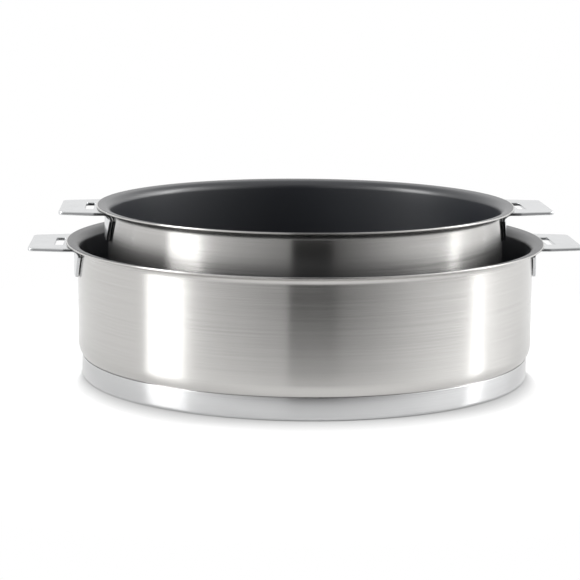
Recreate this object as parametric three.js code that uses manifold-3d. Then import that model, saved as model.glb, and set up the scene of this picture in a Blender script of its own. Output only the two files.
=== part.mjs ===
// A nested pair of straight-sided saute pans for a removable handle, in millimetres, +Z up.
// Each pan is a drawn steel body with a flared pouring rim, a non-stick lining, a thick base of
// aluminium closed in by a steel cap, and two slotted handle brackets welded under the rim.
// The origin is the middle of the large pan's underside, and +X runs through the right brackets.

import * as THREE from "three";
import { mergeVertices, toCreasedNormals } from "three/addons/utils/BufferGeometryUtils.js";
import Module from "manifold-3d";

// Large pan
const OUTER_WALL_RADIUS = 140;
const OUTER_HEIGHT = 83;

// How the small pan nests in the large one
const NEST_CLEARANCE = 17.4; // from the large pan's lining to the small pan's wall
const NEST_RISE = 22; // from the large pan's rim up to the small pan's rim
const NEST_GAP = 0.3; // under the small pan's base

// Drawn body and lining, alike on both pans
const SHEET = 1;
const CORNER_RADIUS = 11.5; // outside, where the wall turns into the floor
const FLARE_RADIUS = 4; // outside, where the wall turns out into the rim
const RIM_OVERHANG = 7; // from the wall to the edge of the rim
const RIM_RISE = 10; // degrees, how steeply the rim still climbs at its edge
const LINING = 0.3;
const BARE_EDGE = 0.5; // steel left bare along the edge of the rim

// Thick base
const CORE = 8.5;
const CAP_SHEET = 0.8;
const CAP_INSET = 2.2; // from the wall in to the side of the cap
const CAP_EDGE_RADIUS = 2;
const SEAM = 0.6; // open line between the cap's top edge and the body

// Handle bracket
const BRACKET_SHEET = 2;
const TAB_REACH = 22; // from the rim's edge to the tip
const TAB_ROOT_WIDTH = 64;
const TAB_TIP_WIDTH = 55;
const TAB_CORNER = 4;
const SLOT_LENGTH = 30;
const SLOT_WIDTH = 5.2;
const SLOT_INSET = 1.5; // from the rim's edge to the slot
const SLOT_CORNER = 1;
const LEG_HEIGHT = 19.2; // from the tab's top face to the end of the leg
const LEG_TIP_WIDTH = 42;
const LEG_CORNER = 4;
const BEND_EASE = 1.5; // how much fuller the bracket's bend is than the flare above it
const RIM_GAP = 0.6; // between the rim's edge and the tab
const WELD_GAP = 0.3; // between the wall and the leg

// Facets
const TURN_STEPS = 56;
const BEND_TURN_STEPS = 120;
const ARC_STEP = 22.5; // degrees
const EDGE_ARC_STEP = 45; // degrees, on the small rounded edges
const CORNER_STEPS = 4;
const SMOOTH_UP_TO = 30; // degrees between facets that still shade as one surface
const CUT_MARGIN = 2; // how far cutting shapes run past what they cut

// What follows from the sizes above
const FLOOR = CAP_SHEET + CORE; // underside of the body's floor
const INSIDE_FLOOR = FLOOR + SHEET + LINING;
const INNER_WALL_RADIUS = OUTER_WALL_RADIUS - SHEET - LINING - NEST_CLEARANCE;
const INNER_LEVEL = INSIDE_FLOOR + NEST_GAP;
const INNER_HEIGHT = OUTER_HEIGHT + NEST_RISE - INNER_LEVEL;
const RIM_CLIMB = THREE.MathUtils.degToRad(RIM_RISE);
const FLARE_END = 90 + RIM_RISE; // degrees from outwards, where the flare's arc meets the straight rim
const TAB_DROP = SHEET / Math.cos(RIM_CLIMB) + RIM_GAP; // from the rim's top to the tab's top face
const BEND_OUTSIDE = FLARE_RADIUS + BEND_EASE;
const BEND_INSIDE = BEND_OUTSIDE - BRACKET_SHEET;

const wasm = await Module();
wasm.setup();

// Points along an arc in a profile, as radius and height, angles in degrees from outwards
function arc(centreRadius, centreHeight, radius, from, to, step = ARC_STEP) {
  const steps = Math.max(1, Math.round(Math.abs(to - from) / step));
  return Array.from({ length: steps + 1 }, (_, i) => {
    const angle = THREE.MathUtils.degToRad(from + ((to - from) * i) / steps);
    return new THREE.Vector2(
      centreRadius + radius * Math.cos(angle),
      centreHeight + radius * Math.sin(angle),
    );
  });
}

function point(radius, height) {
  return new THREE.Vector2(radius, height);
}

// A profile turned about the pan's upright axis
function turned(profile, steps) {
  return new THREE.LatheGeometry(profile, steps).rotateX(Math.PI / 2);
}

// A flat outline from corners of x, y and rounding radius
function outline(corners) {
  const shape = new THREE.Shape();
  corners.forEach(([x, y, radius], i) => {
    const corner = new THREE.Vector2(x, y);
    const before = new THREE.Vector2(...corners.at(i - 1)).sub(corner);
    const after = new THREE.Vector2(...corners[(i + 1) % corners.length]).sub(corner);
    const setback = radius / Math.tan(Math.abs(before.angleTo(after)) / 2);
    const start = before.setLength(setback).add(corner);
    const end = after.setLength(setback).add(corner);
    if (i === 0) {
      shape.moveTo(start.x, start.y);
    } else {
      shape.lineTo(start.x, start.y);
    }
    if (radius > 0) {
      shape.quadraticCurveTo(corner.x, corner.y, end.x, end.y);
    }
  });
  shape.closePath();
  return shape;
}

// An outline in plan, standing from one height to another
function upright(shape, from, to) {
  const options = { depth: to - from, bevelEnabled: false, curveSegments: CORNER_STEPS };
  return new THREE.ExtrudeGeometry(shape, options).translate(0, 0, from);
}

// An outline in y and z, running outwards along x from the pan's axis
function outward(shape, reach) {
  const options = { depth: reach, bevelEnabled: false, curveSegments: CORNER_STEPS };
  return new THREE.ExtrudeGeometry(shape, options).rotateX(Math.PI / 2).rotateZ(Math.PI / 2);
}

function solid(geometry) {
  geometry.deleteAttribute("normal");
  geometry.deleteAttribute("uv");
  const welded = mergeVertices(geometry);
  const vertProperties = new Float32Array(welded.attributes.position.array);
  const triVerts = new Uint32Array(welded.index.array);
  return new wasm.Manifold(new wasm.Mesh({ numProp: 3, vertProperties, triVerts }));
}

function surface(body) {
  const { vertProperties, triVerts } = body.getMesh();
  const geometry = new THREE.BufferGeometry();
  geometry.setAttribute("position", new THREE.BufferAttribute(vertProperties, 3));
  geometry.setIndex(new THREE.BufferAttribute(triVerts, 1));
  return toCreasedNormals(geometry, THREE.MathUtils.degToRad(SMOOTH_UP_TO));
}

// How high above the flare's centre a face of the straight rim lies, given its distance above the
// rim's underside and how far out from the centre
function rimLevel(above, out) {
  return (FLARE_RADIUS + above + out * Math.sin(RIM_CLIMB)) / Math.cos(RIM_CLIMB);
}

// Sizes of one pan that its pieces share, in the pan's own frame with its base at height 0
function panSizes(wallRadius, height) {
  const cornerCentre = wallRadius - CORNER_RADIUS;
  const cornerHeight = FLOOR + CORNER_RADIUS;
  const capRadius = wallRadius - CAP_INSET;
  const capInside = capRadius - CAP_SHEET;
  const seamAngle = -THREE.MathUtils.radToDeg(Math.acos((capInside - cornerCentre) / CORNER_RADIUS));
  return {
    wallRadius,
    height,
    cornerCentre,
    cornerHeight,
    capRadius,
    capInside,
    seamAngle,
    flareCentre: wallRadius + FLARE_RADIUS,
    flareHeight: height - rimLevel(SHEET, RIM_OVERHANG - FLARE_RADIUS),
    rimRadius: wallRadius + RIM_OVERHANG,
  };
}

// A point on a face of the straight rim, set in from the rim's edge
function rimPoint(pan, above, inset) {
  const radius = pan.rimRadius - inset;
  return point(radius, pan.flareHeight + rimLevel(above, radius - pan.flareCentre));
}

// Outside of the rounded bottom, from the floor up to the line where the cap's side meets it
function cornerInBase(pan) {
  return arc(pan.cornerCentre, pan.cornerHeight, CORNER_RADIUS, -90, pan.seamAngle);
}

// Inside of the pan at a depth in from the steel, from the axis to the end of the lining
function insideFace(pan, depth) {
  const corner = CORNER_RADIUS - SHEET - depth;
  const flare = FLARE_RADIUS + SHEET + depth;
  return [
    point(0, FLOOR + SHEET + depth),
    ...arc(pan.cornerCentre, pan.cornerHeight, corner, -90, 0),
    ...arc(pan.flareCentre, pan.flareHeight, flare, 180, FLARE_END),
    rimPoint(pan, SHEET + depth, BARE_EDGE),
  ];
}

function bodyGeometry(pan) {
  const profile = [
    point(0, FLOOR),
    ...cornerInBase(pan),
    ...arc(pan.cornerCentre, pan.cornerHeight, CORNER_RADIUS, pan.seamAngle, 0).slice(1),
    ...arc(pan.flareCentre, pan.flareHeight, FLARE_RADIUS, 180, FLARE_END),
    rimPoint(pan, 0, 0),
    rimPoint(pan, SHEET, 0),
    ...insideFace(pan, 0).reverse(),
  ];
  return turned(profile, TURN_STEPS);
}

function liningGeometry(pan) {
  const profile = [...insideFace(pan, 0), ...insideFace(pan, LINING).reverse()];
  return turned(profile, TURN_STEPS);
}

// Aluminium pressed into all the room between the body and the cap
function coreGeometry(pan) {
  const edgeCentre = pan.capRadius - CAP_EDGE_RADIUS;
  const profile = [
    point(0, CAP_SHEET),
    ...arc(edgeCentre, CAP_EDGE_RADIUS, CAP_EDGE_RADIUS - CAP_SHEET, -90, 0, EDGE_ARC_STEP),
    ...cornerInBase(pan).reverse(),
    point(0, FLOOR),
  ];
  return turned(profile, TURN_STEPS);
}

function capGeometry(pan) {
  const edgeCentre = pan.capRadius - CAP_EDGE_RADIUS;
  const topAt = (radius) => {
    const fromCentre = radius - pan.cornerCentre;
    return pan.cornerHeight - Math.sqrt(CORNER_RADIUS ** 2 - fromCentre ** 2) - SEAM;
  };
  const profile = [
    point(0, 0),
    ...arc(edgeCentre, CAP_EDGE_RADIUS, CAP_EDGE_RADIUS, -90, 0, EDGE_ARC_STEP),
    point(pan.capRadius, topAt(pan.capRadius)),
    point(pan.capInside, topAt(pan.capInside)),
    ...arc(edgeCentre, CAP_EDGE_RADIUS, CAP_EDGE_RADIUS - CAP_SHEET, 0, -90, EDGE_ARC_STEP),
    point(0, CAP_SHEET),
  ];
  return turned(profile, TURN_STEPS);
}

// The bracket on the +X side: a strip that hugs the wall, bends out under the flare and ends in a
// flat tab under the rim. A bent section is turned round the pan and trimmed to the blank's outline.
function bracketGeometry(pan) {
  const top = pan.height - TAB_DROP;
  const bottom = top - LEG_HEIGHT;
  const bendHeight = top - BEND_OUTSIDE;
  const legInside = pan.wallRadius + WELD_GAP;
  const legOutside = legInside + BRACKET_SHEET;
  const bendCentre = legInside + BEND_OUTSIDE;
  const tip = pan.rimRadius + TAB_REACH;
  const turnedReach = Math.hypot(tip, TAB_ROOT_WIDTH) + CUT_MARGIN;
  const section = [
    point(legInside, bottom - CUT_MARGIN),
    point(legOutside, bottom - CUT_MARGIN),
    ...arc(bendCentre, bendHeight, BEND_INSIDE, 180, 90),
    point(turnedReach, top - BRACKET_SHEET),
    point(turnedReach, top),
    ...arc(bendCentre, bendHeight, BEND_OUTSIDE, 90, 180),
    point(legInside, bottom - CUT_MARGIN),
  ];

  const root = TAB_ROOT_WIDTH / 2;
  const end = TAB_TIP_WIDTH / 2;
  const plan = outline([
    [0, -root, 0],
    [pan.rimRadius, -root, 0],
    [tip, -end, TAB_CORNER],
    [tip, end, TAB_CORNER],
    [pan.rimRadius, root, 0],
    [0, root, 0],
  ]);

  const legEnd = LEG_TIP_WIDTH / 2;
  const front = outline([
    [-legEnd, bottom, LEG_CORNER],
    [legEnd, bottom, LEG_CORNER],
    [root, bendHeight, 0],
    [root + CUT_MARGIN, top + CUT_MARGIN, 0],
    [-root - CUT_MARGIN, top + CUT_MARGIN, 0],
    [-root, bendHeight, 0],
  ]);

  const slotStart = pan.rimRadius + SLOT_INSET;
  const slotEnd = slotStart + SLOT_WIDTH;
  const slot = outline([
    [slotStart, -SLOT_LENGTH / 2, SLOT_CORNER],
    [slotEnd, -SLOT_LENGTH / 2, SLOT_CORNER],
    [slotEnd, SLOT_LENGTH / 2, SLOT_CORNER],
    [slotStart, SLOT_LENGTH / 2, SLOT_CORNER],
  ]);

  const low = bottom - 2 * CUT_MARGIN;
  const high = top + 2 * CUT_MARGIN;
  const bracket = solid(turned(section, BEND_TURN_STEPS))
    .intersect(solid(upright(plan, low, high)))
    .intersect(solid(outward(front, tip + CUT_MARGIN)))
    .subtract(solid(upright(slot, low, high)));
  return surface(bracket);
}

function brushedSteel() {
  return new THREE.MeshStandardMaterial({ color: 0xbdbbb7, metalness: 1, roughness: 0.32 });
}

function polishedSteel() {
  return new THREE.MeshStandardMaterial({ color: 0xc2c4c6, metalness: 1, roughness: 0.22 });
}

function satinSteel() {
  return new THREE.MeshStandardMaterial({ color: 0xd3d4d6, metalness: 1, roughness: 0.38 });
}

function bareAluminium() {
  return new THREE.MeshStandardMaterial({ color: 0xd4d6d8, metalness: 1, roughness: 0.5 });
}

function nonStick() {
  return new THREE.MeshStandardMaterial({ color: 0x2a2c30, metalness: 0, roughness: 0.5 });
}

function piece(name, geometry, material) {
  const mesh = new THREE.Mesh(geometry, material);
  mesh.name = name;
  return mesh;
}

// One whole pan, its names starting with the given word
function makePan(word, wallRadius, height) {
  const pan = panSizes(wallRadius, height);
  const group = new THREE.Group();
  group.add(
    piece(`${word}_pan_body`, bodyGeometry(pan), brushedSteel()),
    piece(`${word}_nonstick_lining`, liningGeometry(pan), nonStick()),
    piece(`${word}_heat_spreader`, coreGeometry(pan), bareAluminium()),
    piece(`${word}_base_cap`, capGeometry(pan), polishedSteel()),
  );
  for (const [side, turn] of [["right", 0], ["left", Math.PI]]) {
    const bracket = piece(`${word}_${side}_bracket`, bracketGeometry(pan), satinSteel());
    bracket.rotation.z = turn;
    group.add(bracket);
  }
  return group;
}

const panSet = new THREE.Group();
const outerPan = makePan("outer", OUTER_WALL_RADIUS, OUTER_HEIGHT);
const innerPan = makePan("inner", INNER_WALL_RADIUS, INNER_HEIGHT);
innerPan.position.z = INNER_LEVEL;
panSet.add(outerPan, innerPan);

export default panSet;
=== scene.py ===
import math

import bmesh
import bpy
from mathutils import Matrix, Vector

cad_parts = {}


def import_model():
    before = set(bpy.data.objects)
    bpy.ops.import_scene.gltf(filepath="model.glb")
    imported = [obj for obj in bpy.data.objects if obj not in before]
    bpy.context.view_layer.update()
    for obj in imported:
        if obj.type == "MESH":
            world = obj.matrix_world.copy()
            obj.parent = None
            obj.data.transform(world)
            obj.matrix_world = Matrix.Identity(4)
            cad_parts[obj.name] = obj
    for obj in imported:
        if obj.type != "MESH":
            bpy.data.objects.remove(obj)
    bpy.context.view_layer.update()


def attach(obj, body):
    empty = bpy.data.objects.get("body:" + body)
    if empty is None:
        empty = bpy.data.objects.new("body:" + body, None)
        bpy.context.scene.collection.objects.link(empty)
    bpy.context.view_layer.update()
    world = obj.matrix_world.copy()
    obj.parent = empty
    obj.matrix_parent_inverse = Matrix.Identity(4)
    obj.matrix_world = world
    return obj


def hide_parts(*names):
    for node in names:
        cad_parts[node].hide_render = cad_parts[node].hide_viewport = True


# Two nested steel saute pans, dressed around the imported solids. Profiles are written in
# millimetres, as the part's own source has them, and meshes are made in metres.

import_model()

MM = 0.001

# Sizes that the part's source also has, in millimetres, and RIM_RISE in degrees
OUTER_WALL_RADIUS = 140
OUTER_HEIGHT = 83
NEST_CLEARANCE = 17.4
NEST_RISE = 22
NEST_GAP = 0.3
SHEET = 1
CORNER_RADIUS = 11.5
FLARE_RADIUS = 4
RIM_OVERHANG = 7
RIM_RISE = 10
LINING = 0.3
BARE_EDGE = 0.5
CORE = 8.5
CAP_SHEET = 0.8
CAP_INSET = 2.2
CAP_EDGE_RADIUS = 2
SEAM = 0.6
BRACKET_SHEET = 2
TAB_REACH = 22
TAB_ROOT_WIDTH = 64
TAB_TIP_WIDTH = 55
TAB_CORNER = 4
SLOT_LENGTH = 30
SLOT_WIDTH = 5.2
SLOT_INSET = 1.5
SLOT_CORNER = 1
LEG_HEIGHT = 19.2
LEG_TIP_WIDTH = 42
LEG_CORNER = 4
BEND_EASE = 1.5
RIM_GAP = 0.6
WELD_GAP = 0.3

FLOOR = CAP_SHEET + CORE
INSIDE_FLOOR = FLOOR + SHEET + LINING
INNER_WALL_RADIUS = OUTER_WALL_RADIUS - SHEET - LINING - NEST_CLEARANCE
INNER_LEVEL = INSIDE_FLOOR + NEST_GAP
INNER_HEIGHT = OUTER_HEIGHT + NEST_RISE - INNER_LEVEL
RIM_CLIMB = math.radians(RIM_RISE)
FLARE_END = 90 + RIM_RISE
TAB_DROP = SHEET / math.cos(RIM_CLIMB) + RIM_GAP
BEND_OUTSIDE = FLARE_RADIUS + BEND_EASE

# Small rounds that only the visible pieces have
LIP = 0.2  # the rim's cut edge
CAP_LIP = 0.25  # the cap's top edge
EDGE = 0.5  # the bracket's cut edges

# Spot welds on each bracket's leg, as y and height above the end of the leg
WELDS = [(-12, 6), (0, 6), (12, 6)]
WELD_RADIUS = 3.2
WELD_DEPTH = 0.22

# How finely the visible pieces are made: arcs in degrees, lengths in millimetres
TURN_STEPS = 168
ARC_STEP = 7.5
CAP_INSIDE_STEP = 15
LIP_STEP = 22.5
DISC_STEP = 12  # between rings on a flat disc
WALL_STEP = 8  # between rings on a straight wall
OUTLINE_STEP = 1.5  # between points on the bracket's outline
CORNER_STEP = 0.4  # between points on the bracket's rounded corners
CELL = 1.3  # grid on the bracket
BEND_CELL = 0.7  # the same on its bend
EDGE_STEPS = 2
SMOOTH_UP_TO = math.radians(35)

# Tolerances in millimetres
SAME_POINT = 1e-4
ON_AXIS = 1e-6
ON_CUT = 1e-5
ON_FACE = 1e-3

UV_NAME = "UVMap"


def arc(centre_r, centre_z, radius, start, end, step=ARC_STEP):
    count = max(1, round(abs(end - start) / step))
    points = []
    for i in range(count + 1):
        angle = math.radians(start + (end - start) * i / count)
        points.append((centre_r + radius * math.cos(angle), centre_z + radius * math.sin(angle)))
    return points


def filled(points, step):
    """The profile with points added on its long straight runs."""
    out = [points[0]]
    for (x, y), (end_x, end_y) in zip(points, points[1:]):
        count = max(1, math.ceil(math.dist((x, y), (end_x, end_y)) / step))
        for i in range(1, count + 1):
            out.append((x + (end_x - x) * i / count, y + (end_y - y) * i / count))
    return out


def distinct(points):
    out = [points[0]]
    for p in points[1:]:
        if math.dist(p, out[-1]) > SAME_POINT:
            out.append(p)
    return out


def new_object(name, data):
    obj = bpy.data.objects.new(name, data)
    bpy.context.scene.collection.objects.link(obj)
    return obj


def new_mesh(name, bm):
    mesh = bpy.data.meshes.new(name)
    bm.to_mesh(mesh)
    bm.free()
    return mesh


def smooth(mesh):
    mesh.shade_smooth()
    mesh.set_sharp_from_angle(angle=SMOOTH_UP_TO)


def turned(name, profile, level):
    """A profile turned about Z. It starts and ends on the axis."""
    profile = distinct(profile)
    run = [0.0]
    for a, b in zip(profile, profile[1:]):
        run.append(run[-1] + math.dist(a, b))
    bm = bmesh.new()
    uv = bm.loops.layers.uv.new(UV_NAME)
    turn = [2 * math.pi * i / TURN_STEPS for i in range(TURN_STEPS)]
    rings = []
    for r, z in profile:
        height = (z + level) * MM
        angles = turn if r > ON_AXIS else turn[:1]
        rings.append([bm.verts.new((r * math.cos(a) * MM, r * math.sin(a) * MM, height)) for a in angles])
    for lower in range(len(rings) - 1):
        for i in range(TURN_STEPS):
            j = (i + 1) % TURN_STEPS
            corners = []
            for n, places in ((lower, [(i, i), (j, i + 1)]), (lower + 1, [(j, i + 1), (i, i)])):
                if len(rings[n]) == 1:
                    corners.append((rings[n][0], i + 0.5, run[n]))
                else:
                    corners += [(rings[n][m], u, run[n]) for m, u in places]
            face = bm.faces.new([c[0] for c in corners])
            for loop, (_, u, v) in zip(face.loops, corners):
                loop[uv].uv = (u / TURN_STEPS, v * MM)
    bmesh.ops.recalc_face_normals(bm, faces=bm.faces)
    mesh = new_mesh(name, bm)
    smooth(mesh)
    return new_object(name, mesh)


def rim_level(above, out):
    """Height over the flare's centre of a face of the straight rim, above its underside."""
    return (FLARE_RADIUS + above + out * math.sin(RIM_CLIMB)) / math.cos(RIM_CLIMB)


class Pan:
    """The profiles of one pan's turned pieces, with its base at height 0, and the sizes they share."""

    def __init__(self, wall_radius, height, level):
        self.wall = wall_radius
        self.height = height
        self.level = level
        self.corner_r = wall_radius - CORNER_RADIUS
        self.corner_z = FLOOR + CORNER_RADIUS
        self.cap = wall_radius - CAP_INSET
        self.cap_inside = self.cap - CAP_SHEET
        self.cap_edge_r = self.cap - CAP_EDGE_RADIUS
        self.seam_angle = -math.degrees(math.acos((self.cap_inside - self.corner_r) / CORNER_RADIUS))
        self.flare_r = wall_radius + FLARE_RADIUS
        self.flare_z = height - rim_level(SHEET, RIM_OVERHANG - FLARE_RADIUS)
        self.rim = wall_radius + RIM_OVERHANG

    def rim_z(self, above, radius):
        return self.flare_z + rim_level(above, radius - self.flare_r)

    def inside(self, depth):
        corner = CORNER_RADIUS - SHEET - depth
        flare = FLARE_RADIUS + SHEET + depth
        return [
            (0, FLOOR + SHEET + depth),
            *arc(self.corner_r, self.corner_z, corner, -90, 0),
            *arc(self.flare_r, self.flare_z, flare, 180, FLARE_END),
        ]

    def body(self):
        lip_r = self.rim - LIP
        outside = [
            (0, FLOOR),
            *arc(self.corner_r, self.corner_z, CORNER_RADIUS, -90, 0),
            *arc(self.flare_r, self.flare_z, FLARE_RADIUS, 180, FLARE_END),
            *arc(lip_r, self.rim_z(LIP, lip_r), LIP, FLARE_END - 180, 0, LIP_STEP),
            *arc(lip_r, self.rim_z(SHEET - LIP, lip_r), LIP, 0, FLARE_END, LIP_STEP),
        ]
        return filled(distinct(outside + self.inside(0)[::-1]), WALL_STEP)

    def lining(self):
        end_r = self.rim - BARE_EDGE - LINING
        end = arc(end_r, self.rim_z(SHEET, end_r), LINING, RIM_RISE, FLARE_END, LIP_STEP)
        return filled(distinct(self.inside(0) + end + self.inside(LINING)[::-1]), WALL_STEP)

    def cap_inside_edge(self, start, end):
        radius = CAP_EDGE_RADIUS - CAP_SHEET
        return arc(self.cap_edge_r, CAP_EDGE_RADIUS, radius, start, end, CAP_INSIDE_STEP)

    def core(self):
        return filled(distinct([
            (0, CAP_SHEET),
            *self.cap_inside_edge(-90, 0),
            *arc(self.corner_r, self.corner_z, CORNER_RADIUS, self.seam_angle, -90),
            (0, FLOOR),
        ]), DISC_STEP)

    def cap_top(self, radius):
        across = radius - self.corner_r
        return self.corner_z - math.sqrt(CORNER_RADIUS**2 - across**2) - SEAM

    def base_cap(self):
        return filled(distinct([
            (0, 0),
            *arc(self.cap_edge_r, CAP_EDGE_RADIUS, CAP_EDGE_RADIUS, -90, 0),
            *arc(self.cap - CAP_LIP, self.cap_top(self.cap) - CAP_LIP, CAP_LIP, 0, 90, LIP_STEP),
            (self.cap_inside, self.cap_top(self.cap_inside)),
            *self.cap_inside_edge(0, -90),
            (0, CAP_SHEET),
        ]), DISC_STEP)


def rounded(corners):
    """Points round a flat outline from corners of x, y and rounding radius."""
    out = []
    count = len(corners)
    for i, (x, y, radius) in enumerate(corners):
        here = Vector((x, y))
        before = Vector(corners[i - 1][:2]) - here
        after = Vector(corners[(i + 1) % count][:2]) - here
        setback = radius / math.tan(before.angle(after) / 2)
        start = here + before.normalized() * setback
        end = here + after.normalized() * setback
        bits = max(1, round(radius * 2 / CORNER_STEP)) if radius else 0
        for k in range(bits + 1):
            t = k / bits if bits else 0
            p = start * (1 - t) ** 2 + here * 2 * t * (1 - t) + end * t * t
            out.append((p.x, p.y))
    return out


def blank_mesh(outlines):
    """A flat plate with rounded edges: the first outline is its edge, the others are holes."""
    curve = bpy.data.curves.new("blank", "CURVE")
    curve.dimensions = "2D"
    curve.fill_mode = "BOTH"
    curve.extrude = BRACKET_SHEET / 2 - EDGE
    curve.bevel_depth = EDGE
    curve.bevel_resolution = EDGE_STEPS
    curve.offset = -EDGE
    for points in outlines:
        spline = curve.splines.new("POLY")
        spline.points.add(len(points) - 1)
        for p, (x, y) in zip(spline.points, points):
            p.co = (x, y, 0, 1)
        spline.use_cyclic_u = True
    obj = new_object("blank", curve)
    evaluated = obj.evaluated_get(bpy.context.evaluated_depsgraph_get())
    mesh = bpy.data.meshes.new_from_object(evaluated)
    bpy.data.objects.remove(obj)
    bpy.data.curves.remove(curve)
    return mesh


def cut_across(bm, axis, values):
    for value in values:
        where = Vector((0, 0, 0))
        where[axis] = value
        normal = Vector((0, 0, 0))
        normal[axis] = 1
        geometry = bm.verts[:] + bm.edges[:] + bm.faces[:]
        bmesh.ops.bisect_plane(bm, geom=geometry, dist=ON_CUT, plane_co=where, plane_no=normal)


def steps(start, end, step):
    count = max(1, math.ceil((end - start) / step))
    return [start + (end - start) * i / count for i in range(count + 1)]


class Strip:
    """One pan's bracket. Laid flat, s runs up from the end of the leg, y across and n through the sheet."""

    def __init__(self, pan):
        self.rim = pan.rim
        self.level = pan.level
        self.top = pan.height - TAB_DROP
        self.bottom = self.top - LEG_HEIGHT
        self.bend_z = self.top - BEND_OUTSIDE
        self.leg_r = pan.wall + WELD_GAP
        self.bend_r = self.leg_r + BEND_OUTSIDE
        self.bend_start = self.bend_z - self.bottom
        self.bend_end = self.bend_start + BEND_OUTSIDE * math.pi / 2
        self.root = TAB_ROOT_WIDTH / 2

    def on_tab(self, points):
        """Points of the flat tab, seen from above, as s and y."""
        return [(self.bend_end + math.hypot(x, y) - self.bend_r, y) for x, y in points]

    def outline(self):
        root = self.root
        end = TAB_TIP_WIDTH / 2
        foot = LEG_TIP_WIDTH / 2
        start = self.bend_start
        tip = self.rim + TAB_REACH
        leg = [(0, foot, LEG_CORNER), (start, root, 0), (start, -root, 0), (0, -foot, LEG_CORNER)]
        low = [p for p in reversed(rounded(leg)) if p[0] < start - SAME_POINT and p[1] < 0]
        tab = [(self.rim, -root, 0), (tip, -end, TAB_CORNER), (tip, end, TAB_CORNER), (self.rim, root, 0)]
        return distinct([
            *low,
            (start, -root),
            (self.bend_end, -root),
            *self.on_tab(filled(rounded(tab), OUTLINE_STEP)),
            (self.bend_end, root),
            (start, root),
            *[(s, -y) for s, y in reversed(low)],
        ])

    def slot(self):
        start = self.rim + SLOT_INSET
        end = start + SLOT_WIDTH
        reach = SLOT_LENGTH / 2
        corners = [(start, -reach), (end, -reach), (end, reach), (start, reach)]
        points = rounded([(x, y, SLOT_CORNER) for x, y in corners])
        return distinct(self.on_tab(filled([*points, points[0]], OUTLINE_STEP)[:-1]))

    def bent(self, s, y, n):
        """A point of the flat blank on the bent bracket: the leg follows the wall, and the tab is flat."""
        depth = BRACKET_SHEET / 2 - n
        for weld_y, weld_s in WELDS:
            across = math.hypot(y - weld_y, s - weld_s) / WELD_RADIUS
            if across < 1 and depth > BRACKET_SHEET - ON_FACE:
                depth -= WELD_DEPTH * (1 - across**2) ** 2
        if s < self.bend_start:
            r, z = self.leg_r + depth, self.bottom + s
        elif s < self.bend_end:
            angle = math.pi - (s - self.bend_start) / BEND_OUTSIDE
            r = self.bend_r + (BEND_OUTSIDE - depth) * math.cos(angle)
            z = self.bend_z + (BEND_OUTSIDE - depth) * math.sin(angle)
        else:
            r, z = self.bend_r + s - self.bend_end, self.top - depth
        return Vector((math.sqrt(r * r - y * y), y, z + self.level)) * MM


def bracket(name, pan, turn):
    """A flat blank with its slot, cut into a grid and bent."""
    strip = Strip(pan)
    blank = blank_mesh([strip.outline(), strip.slot()])
    bm = bmesh.new()
    bm.from_mesh(blank)
    bpy.data.meshes.remove(blank)
    bmesh.ops.remove_doubles(bm, verts=bm.verts, dist=SAME_POINT)
    leg_cuts = steps(0, strip.bend_start, CELL)[1:]
    bend_cuts = steps(strip.bend_start, strip.bend_end, BEND_CELL)[1:]
    cut_across(bm, 0, leg_cuts + bend_cuts)
    cut_across(bm, 1, steps(-strip.root, strip.root, CELL)[1:-1])
    bmesh.ops.triangulate(bm, faces=[f for f in bm.faces if len(f.verts) > 4])
    uv = bm.loops.layers.uv.new(UV_NAME)
    for face in bm.faces:
        for loop in face.loops:
            s, y, _ = loop.vert.co
            loop[uv].uv = (y * MM, s * MM)
    for v in bm.verts:
        v.co = strip.bent(*v.co)
    bmesh.ops.recalc_face_normals(bm, faces=bm.faces)
    bmesh.ops.rotate(bm, verts=bm.verts, cent=(0, 0, 0), matrix=Matrix.Rotation(turn, 3, "Z"))
    mesh = new_mesh(name, bm)
    smooth(mesh)
    obj = new_object(name, mesh)
    weighted = obj.modifiers.new("flat faces stay flat", "WEIGHTED_NORMAL")
    weighted.keep_sharp = True
    return obj


# Materials

WHITE = (1, 1, 1, 1)
MIX_INPUTS = (0, 6, 7)  # a Mix node's factor and two colours, whose names other sockets share
MIX_RESULT = 2
NOISE_LOW = 0.3  # most of a noise lies between these
NOISE_HIGH = 0.7

LINE_DRIFT = 9  # how quickly the lines change round the pan, in noise steps to the metre
BROAD_DRIFT = 4
BROAD_RATIO = 12  # fine lines to a broad one
FINE_SHARE = 0.7
LINE_ROUGHNESS = 0.02  # how far the roughness goes up and down with the lines
CLOUD_ROUGHNESS = 0.008
QUARTER_TURN = 0.25

SATIN_COLOURS = (0.62, 0.63, 0.64, 1), (0.68, 0.69, 0.70, 1)
ALUMINIUM_COLOURS = (0.60, 0.61, 0.62, 1), (0.70, 0.71, 0.72, 1)
COATING_COLOURS = (0.0100, 0.0115, 0.0155, 1), (0.0135, 0.0150, 0.0195, 1)
SPECK_COLOUR = (0.058, 0.061, 0.068, 1)
SPECK_START = 0.68  # only the peaks of a noise are specks
SPECK_FULL = 0.78


def grey(level):
    return level, level, level, 1


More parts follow.
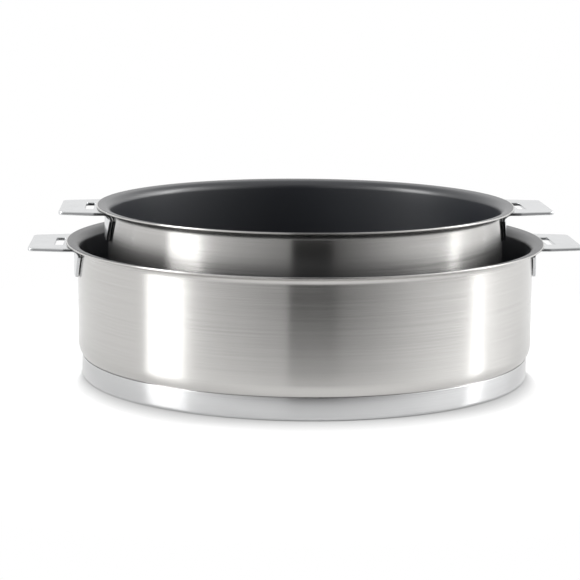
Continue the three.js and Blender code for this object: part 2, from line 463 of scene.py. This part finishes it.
class Tree:
    """A short way to write a node tree."""

    def __init__(self, tree):
        self.tree = tree
        tree.nodes.clear()

    def add(self, kind, values=None, **settings):
        node = self.tree.nodes.new(kind)
        for key, value in settings.items():
            setattr(node, key, value)
        for key, value in (values or {}).items():
            self.put(node, key, value)
        return node

    def put(self, node, key, value):
        socket = node.inputs[key]
        if isinstance(value, bpy.types.NodeSocket):
            self.tree.links.new(value, socket)
        else:
            socket.default_value = value

    def math(self, operation, *values):
        node = self.add("ShaderNodeMath", operation=operation)
        for i, value in enumerate(values):
            self.put(node, i, value)
        return node.outputs[0]

    def span(self, value, low, high, to_low=0.0, to_high=1.0, kind="LINEAR"):
        values = {"Value": value, "From Min": low, "From Max": high, "To Min": to_low, "To Max": to_high}
        return self.add("ShaderNodeMapRange", values, interpolation_type=kind).outputs["Result"]

    def ease(self, value, low, high, to_low=0.0, to_high=1.0):
        return self.span(value, low, high, to_low, to_high, "SMOOTHSTEP")

    def spread(self, noise, low=0.0, high=1.0):
        return self.span(noise, NOISE_LOW, NOISE_HIGH, low, high)

    def mix(self, factor, a, b):
        node = self.add("ShaderNodeMix", data_type="RGBA")
        for i, value in zip(MIX_INPUTS, (factor, a, b)):
            self.put(node, i, value)
        return node.outputs[MIX_RESULT]

    def mix_shaders(self, factor, a, b):
        return self.add("ShaderNodeMixShader", {0: factor, 1: a, 2: b}).outputs[0]

    def spot(self):
        return self.add("ShaderNodeTexCoord").outputs["Object"]

    def parts(self, vector):
        return self.add("ShaderNodeSeparateXYZ", {"Vector": vector}).outputs

    def noise(self, vector, scale, detail, roughness):
        values = {"Vector": vector, "Scale": scale, "Detail": detail, "Roughness": roughness}
        return self.add("ShaderNodeTexNoise", values).outputs["Fac"]

    def bump(self, height, strength, distance):
        values = {"Strength": strength, "Distance": distance, "Height": height}
        return self.add("ShaderNodeBump", values).outputs["Normal"]

    def principled(self, values):
        shader = self.add("ShaderNodeBsdfPrincipled", values)
        self.add("ShaderNodeOutputMaterial", {"Surface": shader.outputs["BSDF"]})


def material(name):
    made = bpy.data.materials.new(name)
    made.use_nodes = True
    return made, Tree(made.node_tree)


def line_coordinates(t, along, across):
    """Coordinates that stretch a noise into lines: slow round the pan, quick along its profile."""
    flat = t.parts(t.spot())
    run = t.parts(t.add("ShaderNodeUVMap", uv_map=UV_NAME).outputs["UV"])
    x = t.math("MULTIPLY", flat["X"], along)
    y = t.math("MULTIPLY", flat["Y"], along)
    z = t.math("MULTIPLY", run["Y"], across)
    return t.add("ShaderNodeCombineXYZ", {"X": x, "Y": y, "Z": z}).outputs["Vector"]


def turned_steel(name, dark, light, roughness, anisotropy, lines, depth):
    """Steel with fine lines round the pan: so many lines to the metre, and how deep they look."""
    made, t = material(name)
    fine = t.noise(line_coordinates(t, LINE_DRIFT, lines), scale=1, detail=3, roughness=0.6)
    broad_lines = line_coordinates(t, BROAD_DRIFT, lines / BROAD_RATIO)
    broad = t.noise(broad_lines, scale=1, detail=2, roughness=0.5)
    cloud = t.noise(t.spot(), scale=14, detail=2, roughness=0.5)
    height = t.math("ADD", t.math("MULTIPLY", fine, FINE_SHARE), t.math("MULTIPLY", broad, 1 - FINE_SHARE))
    line_rough = t.spread(fine, roughness - LINE_ROUGHNESS, roughness + LINE_ROUGHNESS)
    cloud_rough = t.spread(cloud, -CLOUD_ROUGHNESS, CLOUD_ROUGHNESS)
    tangent = t.add("ShaderNodeTangent", direction_type="UV_MAP", uv_map=UV_NAME)
    t.principled({
        "Base Color": t.mix(t.spread(fine), dark, light),
        "Metallic": 1.0,
        "Roughness": t.math("ADD", line_rough, cloud_rough),
        "Anisotropic": anisotropy,
        "Anisotropic Rotation": QUARTER_TURN,
        "Tangent": tangent.outputs["Tangent"],
        "Normal": t.bump(height, strength=depth, distance=0.00002),
    })
    return made


def satin_steel():
    made, t = material("satin_steel")
    spot = t.spot()
    grain = t.noise(spot, scale=2600, detail=3, roughness=0.6)
    cloud = t.noise(spot, scale=60, detail=2, roughness=0.5)
    t.principled({
        "Base Color": t.mix(t.spread(cloud), *SATIN_COLOURS),
        "Metallic": 1.0,
        "Roughness": t.spread(grain, low=0.17, high=0.23),
        "Normal": t.bump(grain, strength=0.15, distance=0.00002),
    })
    return made


def aluminium():
    made, t = material("aluminium_core")
    grain = t.noise(t.spot(), scale=900, detail=3, roughness=0.6)
    t.principled({
        "Base Color": t.mix(grain, *ALUMINIUM_COLOURS),
        "Metallic": 1.0,
        "Roughness": t.spread(grain, low=0.45, high=0.6),
        "Normal": t.bump(grain, strength=0.2, distance=0.00005),
    })
    return made


def coating():
    made, t = material("nonstick")
    spot = t.spot()
    speck = t.noise(spot, scale=1500, detail=2, roughness=0.6)
    grain = t.noise(spot, scale=5200, detail=2, roughness=0.6)
    cloud = t.noise(spot, scale=18, detail=2, roughness=0.5)
    plain = t.mix(t.spread(cloud), *COATING_COLOURS)
    t.principled({
        "Base Color": t.mix(t.span(speck, SPECK_START, SPECK_FULL), plain, SPECK_COLOUR),
        "Metallic": 0.0,
        "Roughness": t.spread(grain, low=0.38, high=0.46),
        "IOR": 1.5,
        "Coat Weight": 0.6,
        "Coat Roughness": 0.27,
        "Coat IOR": 1.5,
        "Normal": t.bump(grain, strength=0.12, distance=0.00004),
    })
    return made


LOOKS = {
    "brushed_steel": turned_steel(
        "brushed_steel", dark=(0.55, 0.54, 0.525, 1), light=(0.61, 0.60, 0.585, 1),
        roughness=0.21, anisotropy=1.0, lines=3600, depth=0.03,
    ),
    "polished_steel": turned_steel(
        "polished_steel", dark=(0.56, 0.563, 0.567, 1), light=(0.62, 0.623, 0.627, 1),
        roughness=0.2, anisotropy=0.6, lines=4200, depth=0.05,
    ),
    "satin_steel": satin_steel(),
    "aluminium_core": aluminium(),
    "nonstick": coating(),
}


def dress(obj, slot, node, body):
    obj.data.materials.append(LOOKS[slot])
    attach(obj, body)
    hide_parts(node)


PANS = {
    "outer": Pan(OUTER_WALL_RADIUS, OUTER_HEIGHT, 0),
    "inner": Pan(INNER_WALL_RADIUS, INNER_HEIGHT, INNER_LEVEL),
}
TURNED_PIECES = [
    ("body_shell", Pan.body, "brushed_steel", "pan_body"),
    ("lining_coat", Pan.lining, "nonstick", "nonstick_lining"),
    ("spreader_disc", Pan.core, "aluminium_core", "heat_spreader"),
    ("cap_shell", Pan.base_cap, "polished_steel", "base_cap"),
]
for word, pan in PANS.items():
    whole = f"{word}_pan"
    for piece, profile, slot, node in TURNED_PIECES:
        dress(turned(f"{word}_{piece}", profile(pan), pan.level), slot, f"{word}_{node}", whole)
    for side, turn in (("right", 0), ("left", math.pi)):
        strip = bracket(f"{word}_{side}_strip", pan, turn)
        dress(strip, "satin_steel", f"{word}_{side}_bracket", whole)


# Floor, lengths in metres

FLOOR_SIDES = 96
FLOOR_HOLE = 0.1355  # a hole that the base covers, so that the two never lie in one plane
FLOOR_SOLID = 0.20  # from the middle to where the table top starts to fade
FLOOR_END = 0.38
FLOOR_COLOUR = 0.58
FLOOR_COLOUR_SEEN = 0.38  # to the camera, under the glow
FLOOR_GLOW = 0.68  # to the camera
FLOOR_MIRRORED = 0.26  # the glow that the steel mirrors
FLOOR_SHEEN = 0.4
FLOOR_ROUGHNESS = 0.18
FLOOR_IOR = 1.5
# How far the painted shadow round the base reaches, from ambient occlusion rather than light
SHADOW_REACH = 0.034  # before and behind the pan
SHADOW_LEAST = 0.002  # at its sides
SHADOW_POWER = 1.6
SHADOW_SAMPLES = 16
NOT_ZERO = 0.001


def floor_mesh():
    bm = bmesh.new()
    turn = [2 * math.pi * i / FLOOR_SIDES for i in range(FLOOR_SIDES)]
    hole, edge = (
        [bm.verts.new((radius * math.cos(a), radius * math.sin(a), 0)) for a in turn]
        for radius in (FLOOR_HOLE, FLOOR_END)
    )
    for i in range(FLOOR_SIDES):
        j = (i + 1) % FLOOR_SIDES
        bm.faces.new((hole[i], edge[i], edge[j], hole[j]))
    return new_mesh("floor", bm)


def white_table():
    made, t = material("white_table")
    spot = t.spot()
    away = t.add("ShaderNodeVectorMath", {0: spot}, operation="LENGTH").outputs["Value"]
    path = t.add("ShaderNodeLightPath").outputs
    seen = path["Is Camera Ray"]
    mirrored = t.math("MAXIMUM", path["Is Glossy Ray"], path["Is Transmission Ray"])

    # A pale top, with a sheen that only the pans get
    colour = t.mix(seen, grey(FLOOR_COLOUR), grey(FLOOR_COLOUR_SEEN))
    pale = t.add("ShaderNodeBsdfDiffuse", {"Color": colour})
    shine = t.add("ShaderNodeBsdfGlossy", {"Color": WHITE, "Roughness": FLOOR_ROUGHNESS})
    unseen = t.math("SUBTRACT", 1, seen)
    fresnel = t.add("ShaderNodeFresnel", {"IOR": FLOOR_IOR}).outputs["Fac"]
    skim = t.math("MULTIPLY", fresnel, t.math("MULTIPLY", unseen, FLOOR_SHEEN))
    top = t.mix_shaders(skim, pale.outputs[0], shine.outputs[0])

    # A glow that makes it white, dimmed by ambient occlusion round the base: a painted shadow there, narrower
    # at the sides
    fore = t.math("DIVIDE", t.math("ABSOLUTE", t.parts(spot)["Y"]), t.math("MAXIMUM", away, NOT_ZERO))
    reach = t.math("MAXIMUM", t.math("MULTIPLY", fore, SHADOW_REACH), SHADOW_LEAST)
    painted_shadow = t.add("ShaderNodeAmbientOcclusion", {"Distance": reach}, samples=SHADOW_SAMPLES)
    open_to = t.math("POWER", painted_shadow.outputs["AO"], SHADOW_POWER)
    glow = t.math("MULTIPLY", open_to, t.math("MULTIPLY", seen, FLOOR_GLOW))
    strength = t.math("MAXIMUM", glow, t.math("MULTIPLY", mirrored, FLOOR_MIRRORED))
    lift = t.add("ShaderNodeEmission", {"Color": WHITE, "Strength": strength})
    both = t.add("ShaderNodeAddShader", {0: top, 1: lift.outputs[0]})

    # Its edge fades into the background
    clear = t.add("ShaderNodeBsdfTransparent")
    mixed = t.mix_shaders(t.ease(away, FLOOR_SOLID, FLOOR_END), both.outputs[0], clear.outputs[0])
    t.add("ShaderNodeOutputMaterial", {"Surface": mixed})
    return made


def floor():
    obj = new_object("floor", floor_mesh())
    obj.data.materials.append(white_table())


# Light and camera

CAMERA_DISTANCE = 1.25097
CAMERA_ELEVATION = math.radians(9.91)
CAMERA_AZIMUTH = math.radians(-3)
CAMERA_ROLL = math.radians(0.42)
CAMERA_TARGET = Vector((-0.00911, 0.00048, 0.05051))
CAMERA_FOCUS_PIXELS = 2011.33
CAMERA_NEAR = 0.01
IMAGE_PIXELS = 580
SENSOR = 36

# Light round the set: its direction in degrees, from the photo's camera with right positive, and its level
ROUND = [
    (-180, 0.95), (-150, 0.98), (-124, 0.97), (-92, 0.96), (-88, 1.0), (-85.5, 1.15), (-83, 1.9),
    (-69, 1.9), (-65, 1.48), (-61, 1.14), (-55, 0.83), (-48, 0.67), (-38, 0.53), (-18, 0.355),
    (-9, 0.30), (-7, 0.016), (13, 0.016), (18, 0.118), (32, 0.262), (40, 0.37), (54, 0.58), (66, 0.66),
    (78, 0.74), (87, 0.82), (90.5, 0.9), (93, 1.35), (97, 1.35), (99.5, 1.4), (104, 1.32),
    (112, 1.13), (140, 1.02), (180, 0.95),
]

# From about this elevation up the front half is RISE times as bright, and the side lights come on top of it,
# each with its direction, half width, softness and level. A pair of angles is where a change starts and ends.
UPPER = (2, 14)
RISE = 2.2
FRONT_LEFT = (-86, -82)
FRONT_RIGHT = (140, 120)
SIDE_LIGHTS = [(-74.1, 11.8, 1.2, 6.5), (95.5, 5, 2.5, 9), (92, 26, 16, 1.6)]

# Higher still, overhead, the light is plain
HIGH = (32, 48)
OVERHEAD = 0.8


def world():
    made = bpy.data.worlds.new("studio")
    bpy.context.scene.world = made
    made.use_nodes = True
    t = Tree(made.node_tree)
    way = t.parts(t.add("ShaderNodeTexCoord").outputs["Generated"])
    behind = t.math("MULTIPLY", way["Y"], -1)
    around = t.math("SUBTRACT", t.math("ARCTAN2", way["X"], behind), CAMERA_AZIMUTH)
    ramp = t.add("ShaderNodeValToRGB", {"Fac": t.span(around, -math.pi, math.pi)})
    ramp.color_ramp.interpolation = "LINEAR"
    stops = ramp.color_ramp.elements
    while len(stops) < len(ROUND):
        stops.new(0.5)
    for stop, (angle, level) in zip(stops, ROUND):
        stop.position = (angle + 180) / 360
        stop.color = grey(level)
    high, upper = (
        t.ease(way["Z"], math.sin(math.radians(start)), math.sin(math.radians(full)))
        for start, full in (HIGH, UPPER)
    )
    front = upper
    for start, full in (FRONT_LEFT, FRONT_RIGHT):
        front = t.math("MULTIPLY", front, t.ease(around, math.radians(start), math.radians(full)))
    side_lights = 0.0
    for centre, half, soft, level in SIDE_LIGHTS:
        off = t.math("ABSOLUTE", t.math("SUBTRACT", around, math.radians(centre)))
        one = t.ease(off, math.radians(half - soft), math.radians(half + soft), level, 0)
        side_lights = t.math("ADD", side_lights, one)
    gain = t.math("MULTIPLY_ADD", front, RISE - 1, 1)
    plain = t.math("MULTIPLY", ramp.outputs["Color"], gain)
    sides = t.math("MULTIPLY_ADD", side_lights, upper, plain)
    studio = t.add("ShaderNodeBackground", {"Color": t.mix(high, sides, grey(OVERHEAD))})
    white = t.add("ShaderNodeBackground", {"Color": WHITE})
    seen = t.add("ShaderNodeLightPath").outputs["Is Camera Ray"]
    both = t.mix_shaders(seen, studio.outputs[0], white.outputs[0])
    t.add("ShaderNodeOutputWorld", {"Surface": both})


def camera():
    data = bpy.data.cameras.new("camera")
    data.sensor_width = SENSOR
    data.lens = SENSOR * CAMERA_FOCUS_PIXELS / IMAGE_PIXELS
    data.clip_start = CAMERA_NEAR
    level = math.cos(CAMERA_ELEVATION)
    back = Vector((
        math.sin(CAMERA_AZIMUTH) * level,
        -math.cos(CAMERA_AZIMUTH) * level,
        math.sin(CAMERA_ELEVATION),
    ))
    facing = (-back).to_track_quat("-Z", "Y").to_matrix()
    turn = facing @ Matrix.Rotation(CAMERA_ROLL, 3, "Z")
    obj = new_object("camera", data)
    obj.matrix_world = Matrix.Translation(CAMERA_TARGET + back * CAMERA_DISTANCE) @ turn.to_4x4()
    bpy.context.scene.camera = obj


floor()
world()
camera()
bpy.context.scene.view_settings.view_transform = "Standard"
